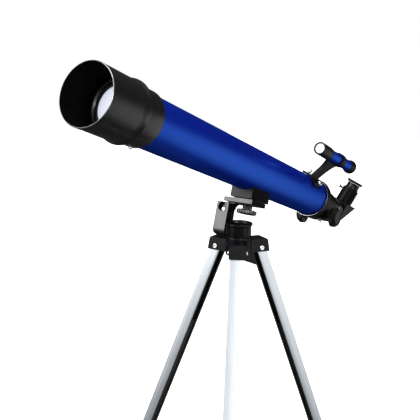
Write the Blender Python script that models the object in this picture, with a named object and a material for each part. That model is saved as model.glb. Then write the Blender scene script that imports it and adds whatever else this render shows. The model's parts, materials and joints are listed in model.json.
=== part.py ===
"""A 50 mm refracting telescope on an aluminium tripod, at its real size in metres.

+Z is up, the objective points towards -Y, and the tilt axis runs along X. The telescope is built in
nested frames (empties): azimuth_axis > altitude_axis > optical_axis, and one leg frame for each leg.
Each moving piece hangs under an empty that sits on its joint's axis.
"""

import math

import bmesh
import bpy
from mathutils import Matrix, Vector

MM = 0.001
GAP = 0.3 * MM

# Stance of the whole object
ALTITUDE = math.radians(18.2)
LEG_SPLAY = math.radians(21.7)
STOP_LEG = 1
LEG_AZIMUTHS = tuple(math.radians(-61.3 + 120 * k) for k in range(3))
AXIS_X = 66.5 * MM
AXIS_Y = -38.7 * MM

# Tripod legs, along each leg from its pivot bolt
LEG_PIVOT_RADIUS = 31.2 * MM
LEG_PIVOT_DROP = 24.0 * MM
LEG_REACH = 690.0 * MM
UPPER_LEG_LENGTH = 560.0 * MM
LEG_TOP = 6.5 * MM
LEG_WIDTH = 20.0 * MM
LEG_DEPTH = 14.5 * MM
LEG_WALL = 1.2 * MM
LOWER_LEG_WIDTH = 16.6 * MM
LOWER_LEG_DEPTH = 11.2 * MM
LOWER_LEG_TOP = -132.0 * MM
LOWER_LEG_BOTTOM = -677.0 * MM
FOOT_TOP = -660.0 * MM
SPREADER_DROP = 500.0 * MM
SPREADER_OFFSET = 11.0 * MM
SPREADER_ANGLE = math.radians(50.0)
SPREADER_HUB_RADIUS = 18.0 * MM
TILT_HEIGHT = LEG_REACH * math.cos(LEG_SPLAY) + LEG_PIVOT_DROP

# Hub and turret, heights from the tilt axis
TURRET_RADIUS = 17.3 * MM
RIM_RADIUS = 18.8 * MM
RIM_TOP = 12.3 * MM
TURRET_FLOOR = -6.0 * MM
TURRET_FLAT = -17.1 * MM
HUB_TOP = -6.4 * MM
HUB_RADIUS = 18.0 * MM
HUB_BOTTOM = -33.0 * MM
BRACKET_TOP = -11.3 * MM
BRACKET_BOTTOM = -30.0 * MM
BRACKET_HALF_WIDTH = 11.9 * MM

# Mount pieces, in the tilting frame: x along the tilt axis, y to the rear, z towards the tube
ARM_OUTER_X = -37.2 * MM
ARM_INNER_X = -18.3 * MM
ARM_FOOT_RADIUS = 10.4 * MM
ARM_TOP = 37.4 * MM
PLATFORM_BOTTOM = 38.4 * MM
PLATFORM_TOP = 44.4 * MM
SADDLE_BOTTOM = 46.7 * MM
CLAMP_Y = 11.2 * MM
OPTICAL_HEIGHT = 88.8 * MM
BOLT_RADIUS = 3.0 * MM

# Optical tube, distances behind the dew shield's front rim
PIVOT_STATION = 355.8 * MM
TUBE_RADIUS = 30.6 * MM
TUBE_FRONT = 66.5 * MM
TUBE_REAR = 580.0 * MM
FOCUS_STATION = 624.0 * MM
FOCUS_DROP = 23.5 * MM
TENSION_STATION = 633.2 * MM
GEAR_RADIUS = 5.0 * MM
DRAWTUBE_RADIUS = 14.6 * MM
EYEPIECE_STATION = 712.0 * MM
EYEPIECE_ROLL = math.radians(22.0)
SOCKET_TOP = 44.5 * MM

# Finder, beside the tube
FINDER_DISTANCE = 80.5 * MM
FINDER_ROLL = math.radians(42.0)

BLACK = (0.012, 0.013, 0.015)
MATERIALS = {
    "black_plastic": (BLACK, 0.38, 0.0),
    "black_inside": ((0.006, 0.006, 0.007), 0.8, 0.0),
    "blue_metal": ((0.006, 0.02, 0.33), 0.3, 0.6),
    "chrome": ((0.75, 0.76, 0.78), 0.15, 1.0),
    "aluminium": ((0.72, 0.74, 0.76), 0.32, 0.9),
    "dark_aluminium": ((0.03, 0.03, 0.033), 0.4, 0.8),
    "steel": ((0.5, 0.5, 0.52), 0.35, 1.0),
    "black_metal": ((0.02, 0.02, 0.022), 0.4, 0.7),
    "glass": ((0.85, 0.9, 1.0), 0.05, 0.0),
    "mirror": ((0.9, 0.92, 0.95), 0.03, 1.0),
    "rubber": ((0.02, 0.02, 0.02), 0.8, 0.0),
}


# ---------------------------------------------------------------- helpers

def clear_scene():
    for obj in list(bpy.data.objects):
        bpy.data.objects.remove(obj, do_unlink=True)


def make_materials():
    for name, (color, roughness, metallic) in MATERIALS.items():
        material = bpy.data.materials.new(name)
        material.use_nodes = True
        shader = material.node_tree.nodes["Principled BSDF"]
        shader.inputs["Base Color"].default_value = (*color, 1.0)
        shader.inputs["Roughness"].default_value = roughness
        shader.inputs["Metallic"].default_value = metallic


def empty(name, parent=None, location=(0, 0, 0), rotation=(0, 0, 0)):
    obj = bpy.data.objects.new(name, None)
    obj.location = location
    obj.rotation_euler = rotation
    obj.parent = parent
    bpy.context.collection.objects.link(obj)
    return obj


def add_object(name, bm, material, parent):
    """Turns a bmesh into an object whose node material is a copy named after it."""
    bmesh.ops.recalc_face_normals(bm, faces=bm.faces)
    mesh = bpy.data.meshes.new(name)
    bm.to_mesh(mesh)
    bm.free()
    mesh.shade_smooth()
    mesh.set_sharp_from_angle(angle=math.radians(35))
    obj = bpy.data.objects.new(name, mesh)
    own_material = bpy.data.materials[material].copy()
    own_material.name = name + "_finish"
    mesh.materials.append(own_material)
    obj.parent = parent
    bpy.context.collection.objects.link(obj)
    return obj


def scaled(points):
    """Millimetre points in metres."""
    return [(a * MM, b * MM) for a, b in points]


def turned(profile, sides=24, place=Matrix()):
    """Revolves (radius, z) points about Z: a loop, or a line that starts and ends on the axis."""
    bm = bmesh.new()
    rings = []
    for radius, z in profile:
        if radius < 1e-7:
            rings.append([bm.verts.new((0, 0, z))])
            continue
        turn = [2 * math.pi * k / sides for k in range(sides)]
        rings.append([bm.verts.new((radius * math.cos(a), radius * math.sin(a), z)) for a in turn])
    closed = len(rings[0]) > 1
    pairs = list(zip(rings, rings[1:] + rings[:1])) if closed else list(zip(rings, rings[1:]))
    for low, high in pairs:
        for k in range(sides):
            j = (k + 1) % sides
            corners = [low[k % len(low)], low[j % len(low)], high[j % len(high)], high[k % len(high)]]
            bm.faces.new(list(dict.fromkeys(corners)))
    bm.transform(place)
    return bm


def prism(outline, low, high, place=Matrix()):
    """Extrudes an (x, y) outline from z = low to z = high."""
    bm = bmesh.new()
    bottom = [bm.verts.new((x, y, low)) for x, y in outline]
    top = [bm.verts.new((x, y, high)) for x, y in outline]
    bm.faces.new(list(reversed(bottom)))
    bm.faces.new(top)
    for k in range(len(outline)):
        j = (k + 1) % len(outline)
        bm.faces.new((bottom[k], bottom[j], top[j], top[k]))
    bm.transform(place)
    return bm


def block(x0, x1, y0, y1, z0, z1, place=Matrix()):
    return prism([(x0, y0), (x1, y0), (x1, y1), (x0, y1)], z0, z1, place)


def rod(radius, low, high, sides=18, place=Matrix()):
    return turned([(0, low), (radius, low), (radius, high), (0, high)], sides, place)


def arc(center_x, center_y, radius, start, end, steps):
    """Points on a circle, angles in degrees."""
    turn = [math.radians(start + (end - start) * k / steps) for k in range(steps + 1)]
    return [(center_x + radius * math.cos(a), center_y + radius * math.sin(a)) for a in turn]


def along_x(x=0.0, y=0.0, z=0.0):
    """Places a shape turned about Z so that its axis runs along +X through a point."""
    return Matrix.Translation((x, y, z)) @ Matrix.Rotation(math.pi / 2, 4, "Y")


def along_y(x=0.0, y=0.0, z=0.0):
    """Places a shape turned about Z so that its axis runs along +Y through a point."""
    return Matrix.Translation((x, y, z)) @ Matrix.Rotation(-math.pi / 2, 4, "X")


def at(x=0.0, y=0.0, z=0.0):
    return Matrix.Translation((x, y, z))


def yz_outline_to_x():
    """Stands an outline drawn in (y, z) up, with the extrusion along +X."""
    return Matrix(((0, 0, 1, 0), (1, 0, 0, 0), (0, 1, 0, 0), (0, 0, 0, 1)))


def xz_outline_to_y():
    """Stands an outline drawn in (x, z) up, with the extrusion along -Y."""
    return Matrix(((1, 0, 0, 0), (0, 0, -1, 0), (0, 1, 0, 0), (0, 0, 0, 1)))


def combine(obj, operation, shapes):
    """Adds an exact Boolean modifier for each shape; the shapes stay as hidden guides."""
    for k, bm in enumerate(shapes):
        bmesh.ops.recalc_face_normals(bm, faces=bm.faces)
        mesh = bpy.data.meshes.new("guide")
        bm.to_mesh(mesh)
        bm.free()
        guide = bpy.data.objects.new(f"{obj.name}_{operation.lower()}_{k}", mesh)
        guide.parent = obj.parent
        guide.hide_render = True
        guide.display_type = "WIRE"
        bpy.context.collection.objects.link(guide)
        modifier = obj.modifiers.new(guide.name, "BOOLEAN")
        modifier.operation = operation
        modifier.solver = "EXACT"
        modifier.object = guide
    return obj


def cut(obj, *shapes):
    return combine(obj, "DIFFERENCE", shapes)


def join(obj, *shapes):
    return combine(obj, "UNION", shapes)


# ---------------------------------------------------------------- optical tube

def build_front_end(tube):
    """Dew shield, lens cell, lens, its retaining ring and the tube itself, turned about the optical axis."""
    shield = [(35.0, 0), (35.0, 50), (35.4, 55), (36.9, 59.5), (36.9, 62), (32.3, 62), (32.3, 44),
              (33.4, 43), (33.4, 4), (34.4, 0)]
    add_object("dew_shield", turned(scaled(shield), 36), "black_plastic", tube)
    cell = [(31.9, 44), (31.9, 62.3), (33.2, 62.3), (33.2, 90), (32.2, 92), (30.9, 92), (30.9, 66),
            (24.0, 66), (24.0, 57.3), (26.2, 57.3), (26.2, 44)]
    cell = add_object("lens_cell", turned(scaled(cell), 36), "black_plastic", tube)
    screw_axis = Matrix.Rotation(-math.pi / 2, 4, "X")
    cut(cell, rod(1.4 * MM, 29 * MM, 36 * MM, 12, at(z=84 * MM) @ screw_axis))
    ring = [(25.9, 44.6), (25.9, 48.0), (24.2, 48.0), (24.2, 44.6)]
    add_object("lens_retaining_ring", turned(scaled(ring), 28), "black_plastic", tube)
    lens = [(0, 48.3), (9, 48.4), (17, 48.8), (23.8, 49.3), (25.8, 49.6), (25.8, 55.0), (12, 56.6), (0, 57)]
    add_object("objective_lens", turned(scaled(lens), 28), "glass", tube)
    screw = [(0, 31.4), (1.1, 31.4), (1.1, 33.6), (2.3, 33.6), (2.3, 34.6), (1.5, 35.2), (0, 35.2)]
    add_object("collar_screw", turned(scaled(screw), 12, at(z=84 * MM) @ screw_axis), "chrome", tube)

    wall = 1.0 * MM
    skin = [(TUBE_RADIUS, TUBE_FRONT), (TUBE_RADIUS, TUBE_REAR), (TUBE_RADIUS - wall, TUBE_REAR),
            (TUBE_RADIUS - wall, TUBE_FRONT)]
    main_tube = add_object("main_tube", turned(skin, 36), "blue_metal", tube)
    cut(main_tube, rod(1.5 * MM, 28 * MM, 33 * MM, 12, at(z=84 * MM) @ screw_axis))
    baffle = [(29.2, 330), (29.2, 336), (28.2, 336), (28.2, 331.2), (17, 331.2), (17, 330)]
    add_object("light_baffle", turned(scaled(baffle), 24), "black_inside", tube)
    return main_tube


def build_focuser(tube):
    """Rear cell with its focuser body, drawtube and rack, pinion, knobs and tension screw."""
    body = [(33.0, 570), (33.0, 587), (31.0, 590.5), (24.5, 599), (21.5, 606), (21.0, 643), (20.0, 644),
            (14.95, 644), (14.95, 600), (27.0, 590), (29.0, 580.4), (30.9, 580.4), (30.9, 570)]
    housing = add_object("focuser_housing", turned(scaled(body), 32), "black_plastic", tube)
    station = FOCUS_STATION
    join(housing, block(-19 * MM, 19 * MM, 12 * MM, 31 * MM, station - 12 * MM, station + 15 * MM))
    cut(housing,
        rod(1.8 * MM, 17 * MM, 33 * MM, 14, along_y(z=TENSION_STATION)),
        block(-3.5 * MM, 3.5 * MM, 10 * MM, 19 * MM, 585 * MM, 650 * MM),
        rod(14.95 * MM, 596 * MM, 650 * MM, 32),
        rod(GEAR_RADIUS + 0.7 * MM, -5.9 * MM, 5.9 * MM, 16, along_x(y=FOCUS_DROP, z=station)),
        rod(2.6 * MM, -27 * MM, 27 * MM, 14, along_x(y=FOCUS_DROP, z=station)))

    focus = empty("focus_slide_axis", tube, (0, 0, station))
    tube_points = [(14.6, -40), (14.6, 52), (16.4, 53), (16.4, 66), (12.5, 66), (12.5, 40), (13.4, 39),
                   (13.4, -40)]
    drawtube = add_object("focus_drawtube", turned(scaled(tube_points), 24), "black_metal", focus)
    join(drawtube, block(-3.0 * MM, 3.0 * MM, 14.0 * MM, 18.2 * MM, -30 * MM, 40 * MM))

    knob_axis = empty("focus_knob_axis", tube, (0, FOCUS_DROP, station))
    shaft = [(0, -33.4), (2.2, -33.4), (2.2, -5.2), (GEAR_RADIUS / MM, -5.2), (GEAR_RADIUS / MM, 5.2),
             (2.2, 5.2), (2.2, 33.4), (0, 33.4)]
    add_object("pinion_shaft", turned(scaled(shaft), 14, along_x()), "steel", knob_axis)
    knob = [(0, 36.6), (12.8, 36.6), (14.8, 35.4), (15.1, 32.8), (17.0, 32.2), (17.0, 25.2), (16.2, 24.6),
            (2.5, 24.6), (2.5, 34.0), (0, 34.0)]
    for name, side in (("focus_knob_right", 1), ("focus_knob_left", -1)):
        mirror = Matrix.Scale(side, 4, (0, 0, 1))
        add_object(name, turned(scaled(knob), 20, along_x() @ mirror), "black_plastic", knob_axis)

    tension = empty("tension_screw_axis", tube, (0, 0, TENSION_STATION))
    screw = [(0, 18.6), (1.5, 18.6), (1.5, 32.0), (3.4, 32.0), (3.4, 36.4), (0, 36.4)]
    add_object("focus_tension_screw", turned(scaled(screw), 12, along_y()), "chrome", tension)
    return focus


def build_diagonal(focus):
    """Right-angle diagonal: prism-shaped housing, mirror, socket and set screw; -Y is towards the eye."""
    axis = empty("diagonal_axis", focus, (0, 0, -FOCUS_STATION), (0, 0, EYEPIECE_ROLL))
    front, top, rear, lowest = 695 * MM, -17 * MM, 739 * MM, 27 * MM
    # The outline is drawn as (y, z) in the axis frame, where y is down.
    outline = [(top, front), (lowest, front), (top, rear)]
    half = 16 * MM
    body = add_object("diagonal_housing", prism(outline, -half, half, yz_outline_to_x()),
                      "black_plastic", axis)
    eye = EYEPIECE_STATION
    up = Matrix.Rotation(math.pi / 2, 4, "X")
    join(body,
         rod(12.1 * MM, 672 * MM, front + 1 * MM, 24),
         rod(15 * MM, 16 * MM, SOCKET_TOP, 28, at(z=eye) @ up))
    wall, slope_wall = 2 * MM, 4.25 * MM
    slope_sum = top + rear - slope_wall * math.sqrt(2)
    inner = [(top + wall, front + wall), (slope_sum - front - wall, front + wall),
             (top + wall, slope_sum - top - wall)]
    cut(body,
        prism(inner, wall - half, half - wall, yz_outline_to_x()),
        rod(10.6 * MM, 670 * MM, front + 3 * MM, 24),
        rod(12.5 * MM, 13.5 * MM, SOCKET_TOP + MM, 36, at(z=eye) @ up),
        rod(1.8 * MM, 9 * MM, 20 * MM, 14, set_screw_place(eye)))
    # The mirror's face passes through the point where the optical axis meets the socket's axis.
    lean = at(z=eye) @ Matrix.Rotation(math.radians(45), 4, "X")
    add_object("diagonal_mirror", block(-13 * MM, 13 * MM, 0, 2.4 * MM, -15 * MM, 15 * MM, lean), "mirror", axis)

    screw_axis = empty("set_screw_axis", axis)
    screw = [(0, 12.9), (1.5, 12.9), (1.5, 17.4), (2.9, 17.4), (2.9, 25.6), (0, 25.6)]
    add_object("eyepiece_set_screw", turned(scaled(screw), 12, set_screw_place(eye)), "chrome", screw_axis)
    build_eyepiece(axis, eye, up)
    return axis


def set_screw_place(eye):
    """The set screw points away from the socket to the front left, just below its mouth."""
    return at(y=-39.4 * MM, z=eye) @ Matrix.Rotation(math.radians(232), 4, "Y")


def build_eyepiece(axis, eye, up):
    place = at(z=eye) @ up
    barrel = [(12.2, 22), (12.2, 44.9), (12.8, 44.9), (12.8, 46.4), (11.6, 47), (11.6, 55.5), (9.3, 55.5),
              (9.3, 50.0), (7.0, 49.0), (10.6, 40), (11.2, 22)]
    add_object("eyepiece_body", turned(scaled(barrel), 24, place), "black_metal", axis)
    lens = [(0, 50.6), (8.8, 50.6), (8.8, 53.0), (5, 54.0), (0, 54.4)]
    add_object("eye_lens", turned(scaled(lens), 18, place), "glass", axis)
    cup = [(9.0, 55.8), (13.2, 55.8), (15.2, 59.0), (15.2, 60.6), (12.6, 60.6), (9.0, 57.2)]
    add_object("eyecup", turned(scaled(cup), 24, place), "rubber", axis)


# ---------------------------------------------------------------- finder

def build_finder(tube):
    axis = empty("finder_axis", tube,
                 (FINDER_DISTANCE * math.sin(FINDER_ROLL), -FINDER_DISTANCE * math.cos(FINDER_ROLL), 0))
    cell = [(9.2, 455), (10.0, 456), (10.0, 488), (9.3, 492), (9.15, 492), (9.15, 479), (8.6, 479),
            (8.6, 456.6), (7.2, 456.6), (7.2, 455)]
    add_object("finder_objective_cell", turned(scaled(cell), 24), "black_plastic", axis)
    lens = [(0, 457.2), (6, 457.6), (8.2, 458.2), (8.2, 460.6), (0, 461.2)]
    add_object("finder_objective_lens", turned(scaled(lens), 20), "glass", axis)
    skin = [(8.8, 479.4), (8.8, 575), (7.9, 575), (7.9, 479.4)]
    add_object("finder_tube", turned(scaled(skin), 24), "blue_metal", axis)
    rear = [(7.6, 566), (7.6, 575.3), (9.3, 575.3), (9.9, 581), (11.4, 587), (11.4, 590), (8.0, 590),
            (5.0, 586), (4.5, 566)]
    add_object("finder_eyepiece", turned(scaled(rear), 24), "black_plastic", axis)
    build_finder_bracket(tube)


def build_finder_bracket(tube):
    """Foot that wraps the tube, blade stem and ring, in the radial plane of the finder."""
    roll = empty("finder_bracket_axis", tube, (0, 0, 0), (0, 0, FINDER_ROLL))
    # Here -Y points from the optical axis to the finder; the stem's outline is (y, z).
    ring = [(10.8, 531), (10.8, 549), (9.1, 549), (9.1, 531)]
    center = at(y=-FINDER_DISTANCE)
    bracket = add_object("finder_bracket", turned(scaled(ring), 24, center), "black_plastic", roll)
    stem = [(-31.5, 513), (-56, 512), (-64, 509.5), (-69.4, 506.5), (-70.6, 508.5), (-70.6, 549),
            (-69.4, 548), (-64.5, 541), (-58, 537), (-50, 535), (-31.5, 534)]
    foot = arc(0, 0, 31.0, -120, -60, 8) + arc(0, 0, 34.2, -60, -120, 8)
    join(bracket,
         prism(scaled(stem), -2.6 * MM, 2.6 * MM, yz_outline_to_x()),
         prism(scaled(foot), 512 * MM, 538 * MM))
    cut(bracket, rod(9.1 * MM, 500 * MM, 565 * MM, 24, center))
    for k, side in enumerate((-1, 1), start=1):
        lean = Matrix.Rotation(side * math.radians(22), 4, "Z")
        radial = lean @ at(z=525 * MM) @ Matrix.Rotation(math.pi / 2, 4, "X")
        cut(bracket, rod(1.8 * MM, 29 * MM, 36 * MM, 12, radial))
        cut(bpy.data.objects["main_tube"],
            rod(1.8 * MM, 28 * MM, 33 * MM, 12, Matrix.Rotation(FINDER_ROLL, 4, "Z") @ radial))
        screw_axis = empty(f"finder_screw_axis_{k}", roll)
        screw = [(0, 27.6), (1.4, 27.6), (1.4, 34.6), (3.2, 34.6), (3.2, 36.2), (4.0, 36.8), (4.0, 40.2),
                 (2.6, 41.2), (0, 41.2)]
        add_object(f"finder_thumbscrew_{k}", turned(scaled(screw), 12, radial), "chrome", screw_axis)


# ---------------------------------------------------------------- mount

def build_mount(axis, azimuth, altitude):
    build_turret(axis, azimuth)
    build_arm(altitude)
    saddle = add_object("tube_saddle",
                        block(-17 * MM, 17 * MM, -13.8 * MM, 39.2 * MM, SADDLE_BOTTOM, 66 * MM),
                        "black_plastic", altitude)
    join(saddle, rod(8 * MM, PLATFORM_TOP + GAP, SADDLE_BOTTOM + 2 * MM, 16, at(y=CLAMP_Y)))
    cut(saddle,
        rod(TUBE_RADIUS + GAP, -30 * MM, 60 * MM, 48, along_y(z=OPTICAL_HEIGHT)),
        rod(BOLT_RADIUS + GAP, 40 * MM, 54 * MM, 16, at(y=CLAMP_Y)))

    clamp = empty("clamp_knob_axis", altitude, (0, CLAMP_Y, 0))
    knob = [(0, 25.8), (12.4, 25.8), (14.5, 26.8), (14.5, 31.2), (13.6, 32.0), (7.0, 32.0), (7.0, 38.0),
            (BOLT_RADIUS / MM, 38.0), (BOLT_RADIUS / MM, 53.0), (0, 53.0)]
    add_object("saddle_clamp_knob", turned(scaled(knob), 20), "black_plastic", clamp)


def build_turret(axis, azimuth):
    cup = [(17.3, -6), (17.3, 8.4), (18.8, 9.4), (18.8, 12.3), (16.8, 12.3), (15.2, 5.6), (15.2, -2.6),
           (3.4, -2.6), (3.4, -6)]
    turret = add_object("turret", turned(scaled(cup), 32), "black_plastic", azimuth)
    join(turret, block(TURRET_FLAT, -9 * MM, -8 * MM, 8 * MM, -5 * MM, 5.5 * MM))
    cut(turret,
        block(-30 * MM, TURRET_FLAT, -30 * MM, 30 * MM, -10 * MM, 20 * MM),
        block(-9.0 * MM, -5.5 * MM, -5.3 * MM, 5.3 * MM, -5.1 * MM, 6 * MM),
        rod(BOLT_RADIUS + GAP, -30 * MM, -7 * MM, 18, along_x()))
    cap = [(0, 7.4), (9, 7.8), (14.8, 8.8), (15.6, 8.8), (15.3, 7.0), (12, 6.2), (0, 5.8)]
    add_object("turret_cap", turned(scaled(cap), 28), "black_plastic", azimuth)
    bolt = [(0, -18.6), (5.4, -18.6), (5.4, -14.4), (BOLT_RADIUS / MM, -14.4), (BOLT_RADIUS / MM, 1.6), (0, 1.6)]
    add_object("azimuth_bolt", turned(scaled(bolt), 16), "steel", axis)
    nut = prism(arc(0, 0, 5.4 * MM, 30, 330, 5), -2.3 * MM, 1.2 * MM)
    nut = add_object("azimuth_nut", nut, "steel", axis)
    cut(nut, rod(BOLT_RADIUS + GAP, -5 * MM, 4 * MM, 16))


def build_arm(altitude):
    """The tilt arm with its platform, the screw in its recess, and the tilt pivot."""
    foot = ARM_FOOT_RADIUS / MM
    outline = arc(0, 0, foot, 180, 360, 10) + [(10.0, 14), (9.0, 24), (9.6, 31), (12.0, 37.4)]
    outline += [(-9.6, 37.4), (-11.2, 35.8)]
    arm = add_object("altitude_arm", prism(scaled(outline), ARM_OUTER_X, ARM_INNER_X, yz_outline_to_x()),
                     "black_plastic", altitude)
    web = [(-24, 30), (-18.4, 30)] + arc(-10.3, 30.4, 8.0, 180, 90, 4) + [(-10.3, 40), (-24, 40)]
    join(arm,
         prism(scaled(web), -11.4 * MM, 4 * MM, xz_outline_to_y()),
         block(-22.5 * MM, 22.5 * MM, -19.8 * MM, 21.2 * MM, PLATFORM_BOTTOM, PLATFORM_TOP))
    foot_corner = [(-38, -12), (-31.5, -12)] + arc(-31.5, -4.6, 5.8, 270, 180, 3) + [(-38, -4.6)]
    cut(arm,
        prism(scaled(foot_corner), -14 * MM, 14 * MM, xz_outline_to_y()),
        rod(6.6 * MM, -14 * MM, -3.6 * MM, 20, along_y(x=-28.1 * MM, z=30.5 * MM)),
        rod(1.7 * MM, -8 * MM, 4 * MM, 12, along_y(x=-28.1 * MM, z=27.4 * MM)),
        rod(BOLT_RADIUS + GAP, -40 * MM, -15 * MM, 16, along_x()),
        rod(6.2 * MM, -42 * MM, -34.4 * MM, 20, along_x()),
        rod(BOLT_RADIUS + 2 * GAP, 36 * MM, 46 * MM, 16, at(y=CLAMP_Y)))
    screw = [(0, -7.0), (2.4, -7.0), (2.8, -6.4), (2.8, -4.4), (1.4, -4.4), (1.4, 3.2), (0, 3.2)]
    add_object("arm_screw", turned(scaled(screw), 14, along_y(x=-28.1 * MM, z=27.4 * MM)), "chrome", altitude)
    bolt = [(0, -37.0), (4.6, -37.0), (5.6, -36.4), (5.6, -34.7), (BOLT_RADIUS / MM, -34.7),
            (BOLT_RADIUS / MM, -5.8), (0, -5.8)]
    add_object("pivot_bolt", turned(scaled(bolt), 16, along_x()), "steel", altitude)
    nut = prism(arc(0, 0, 4.8 * MM, 30, 330, 5), -8.7 * MM, -6.2 * MM, along_x())
    nut = add_object("pivot_nut", nut, "steel", altitude)
    cut(nut, rod(BOLT_RADIUS + GAP, -12 * MM, -4 * MM, 16, along_x()))


# ---------------------------------------------------------------- tripod

def build_hub(axis):
    core = [(3.4, -6.4), (17.2, -6.4), (18.0, -7.2), (18.0, -33), (11, -33), (11, -14), (3.4, -14)]
    hub = add_object("tripod_hub", turned(scaled(core), 32), "black_plastic", axis)
    cheek = scaled([(14, -30), (44.5, -30), (41.3, -12.6), (39.6, -11.3), (14, -11.3)])
    pocket = scaled([(19.6, -40), (45.4, -40), (42.9, -30), (40.2, -15.6), (37.6, -13.2), (19.6, -13.2)])
    stop = scaled([(12.5, -29), (24, -29), (24, -31), (30, -52), (12.5, -45)])
    turns = [Matrix.Rotation(azimuth, 4, "Z") for azimuth in LEG_AZIMUTHS]
    brackets, pockets, holes = [], [], []
    for turn in turns:
        width = BRACKET_HALF_WIDTH
        brackets.append(prism(cheek, -width, width, turn @ xz_outline_to_y()))
        pockets.append(prism(pocket, -10.4 * MM, 10.4 * MM, turn @ xz_outline_to_y()))
        bolt = turn @ along_y(x=LEG_PIVOT_RADIUS, z=-LEG_PIVOT_DROP)
        holes.append(rod(2.7 * MM, -14 * MM, 14 * MM, 14, bolt))
    # The stop joins after the pockets are cut, so that a pocket can't remove it.
    join(hub, *brackets)
    cut(hub, *pockets)
    join(hub, prism(stop, -3 * MM, 3 * MM, turns[STOP_LEG] @ xz_outline_to_y()))
    cut(hub, *holes)


def build_leg(axis, number, azimuth):
    """One leg about its pivot bolt: +X outwards, +Y along the bolt, -Z down the leg."""
    place = Vector((LEG_PIVOT_RADIUS * math.cos(azimuth), LEG_PIVOT_RADIUS * math.sin(azimuth),
                    -LEG_PIVOT_DROP))
    still = empty(f"leg_bolt_axis_{number}", axis, place, (0, 0, azimuth))
    rivet = [(0, -13.0), (1.1, -13.0), (1.4, -13.8), (3.2, -13.8), (3.7, -12.2), (2.4, -12.2),
             (2.4, 12.2), (3.7, 12.2), (3.2, 13.8), (1.4, 13.8), (1.1, 13.0), (0, 13.0)]
    add_object(f"leg_bolt_{number}", turned(scaled(rivet), 12, along_y()), "chrome", still)

    leg = empty(f"leg_fold_axis_{number}", axis, place, (0, -LEG_SPLAY, azimuth))
    half_x, half_y, lip = LEG_DEPTH / 2, LEG_WIDTH / 2, 6.5 * MM
    in_x, in_y = half_x - LEG_WALL, half_y - LEG_WALL
    channel = [(half_x, -half_y), (half_x, half_y), (-half_x, half_y), (-half_x, lip), (-in_x, lip),
               (-in_x, in_y), (in_x, in_y), (in_x, -in_y), (-in_x, -in_y), (-in_x, -lip),
               (-half_x, -lip), (-half_x, -half_y)]
    upper = add_object(f"upper_leg_{number}", prism(channel, -UPPER_LEG_LENGTH, LEG_TOP), "aluminium", leg)
    pin = along_y(x=-SPREADER_OFFSET, z=-SPREADER_DROP)
    drop = SPREADER_DROP
    join(upper, *[block(-14.2 * MM, -6.3 * MM, y, y + 2.0 * MM, -drop - 5 * MM, -drop + 5 * MM)
                  for y in (5.1 * MM, -7.1 * MM)])
    cut(upper, rod(2.7 * MM, -12 * MM, 12 * MM, 14, along_y()), rod(1.9 * MM, -12 * MM, 12 * MM, 12, pin))

    end = UPPER_LEG_LENGTH
    clamp = block(-9.6 * MM, 9.6 * MM, -12.3 * MM, 12.3 * MM, -end - 18 * MM, -end + 14 * MM)
    clamp = add_object(f"leg_clamp_{number}", clamp, "black_plastic", leg)
    knob_drop = end + 9 * MM
    join(clamp, rod(6.5 * MM, 7 * MM, 13 * MM, 20, along_x(z=-knob_drop)))
    cut(clamp,
        block(-half_x - GAP, half_x + GAP, -half_y - GAP, half_y + GAP, -end - GAP, -end + 20 * MM),
        block(-6.0 * MM, 6.0 * MM, -8.7 * MM, 8.7 * MM, -end - 20 * MM, -end + 5 * MM),
        rod(2.7 * MM, 3 * MM, 15 * MM, 14, along_x(z=-knob_drop)))
    knob_axis = empty(f"lock_knob_axis_{number}", leg, (0, 0, -knob_drop))
    knob = [(0, 6.2), (2.4, 6.2), (2.4, 13.3), (6.0, 13.3), (8.5, 15.0), (8.5, 20.0), (6.5, 21.5), (0, 21.5)]
    add_object(f"leg_lock_knob_{number}", turned(scaled(knob), 16, along_x()), "black_plastic", knob_axis)

    slide = empty(f"leg_slide_axis_{number}", leg)
    build_lower_leg(slide, number)


def build_lower_leg(slide, number):
    half_x, half_y, wall = LOWER_LEG_DEPTH / 2, LOWER_LEG_WIDTH / 2, 1.1 * MM
    lower = add_object(f"lower_leg_{number}",
                       block(-half_x, half_x, -half_y, half_y, LOWER_LEG_BOTTOM, LOWER_LEG_TOP),
                       "dark_aluminium", slide)
    cut(lower, block(wall - half_x, half_x - wall, wall - half_y, half_y - wall,
                     LOWER_LEG_BOTTOM - 9 * MM, LOWER_LEG_TOP + 9 * MM))
    # The sole is cut level with the floor while the leg stands splayed.
    sole = [(x * MM, -(LEG_REACH * math.cos(LEG_SPLAY) + x * MM * math.sin(LEG_SPLAY)) / math.cos(LEG_SPLAY))
            for x in (-8.5, 8.5)]
    outline = [sole[0], sole[1], (7.6 * MM, FOOT_TOP), (-7.6 * MM, FOOT_TOP)]
    foot = add_object(f"foot_{number}", prism(outline, -10.8 * MM, 10.8 * MM, xz_outline_to_y()), "rubber", slide)
    cut(foot, block(-half_x - GAP, half_x + GAP, -half_y - GAP, half_y + GAP,
                    LOWER_LEG_BOTTOM - GAP, FOOT_TOP + 9 * MM))


def spreader_points():
    """Radius and height of a spreader arm's leg pin from the tilt axis, the arm's length, the hub's height."""
    radius = (LEG_PIVOT_RADIUS + SPREADER_DROP * math.sin(LEG_SPLAY) - SPREADER_OFFSET * math.cos(LEG_SPLAY))
    height = (-LEG_PIVOT_DROP - SPREADER_DROP * math.cos(LEG_SPLAY) - SPREADER_OFFSET * math.sin(LEG_SPLAY))
    length = (radius - SPREADER_HUB_RADIUS) / math.sin(SPREADER_ANGLE)
    return radius, height, length, height + length * math.cos(SPREADER_ANGLE)


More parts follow.
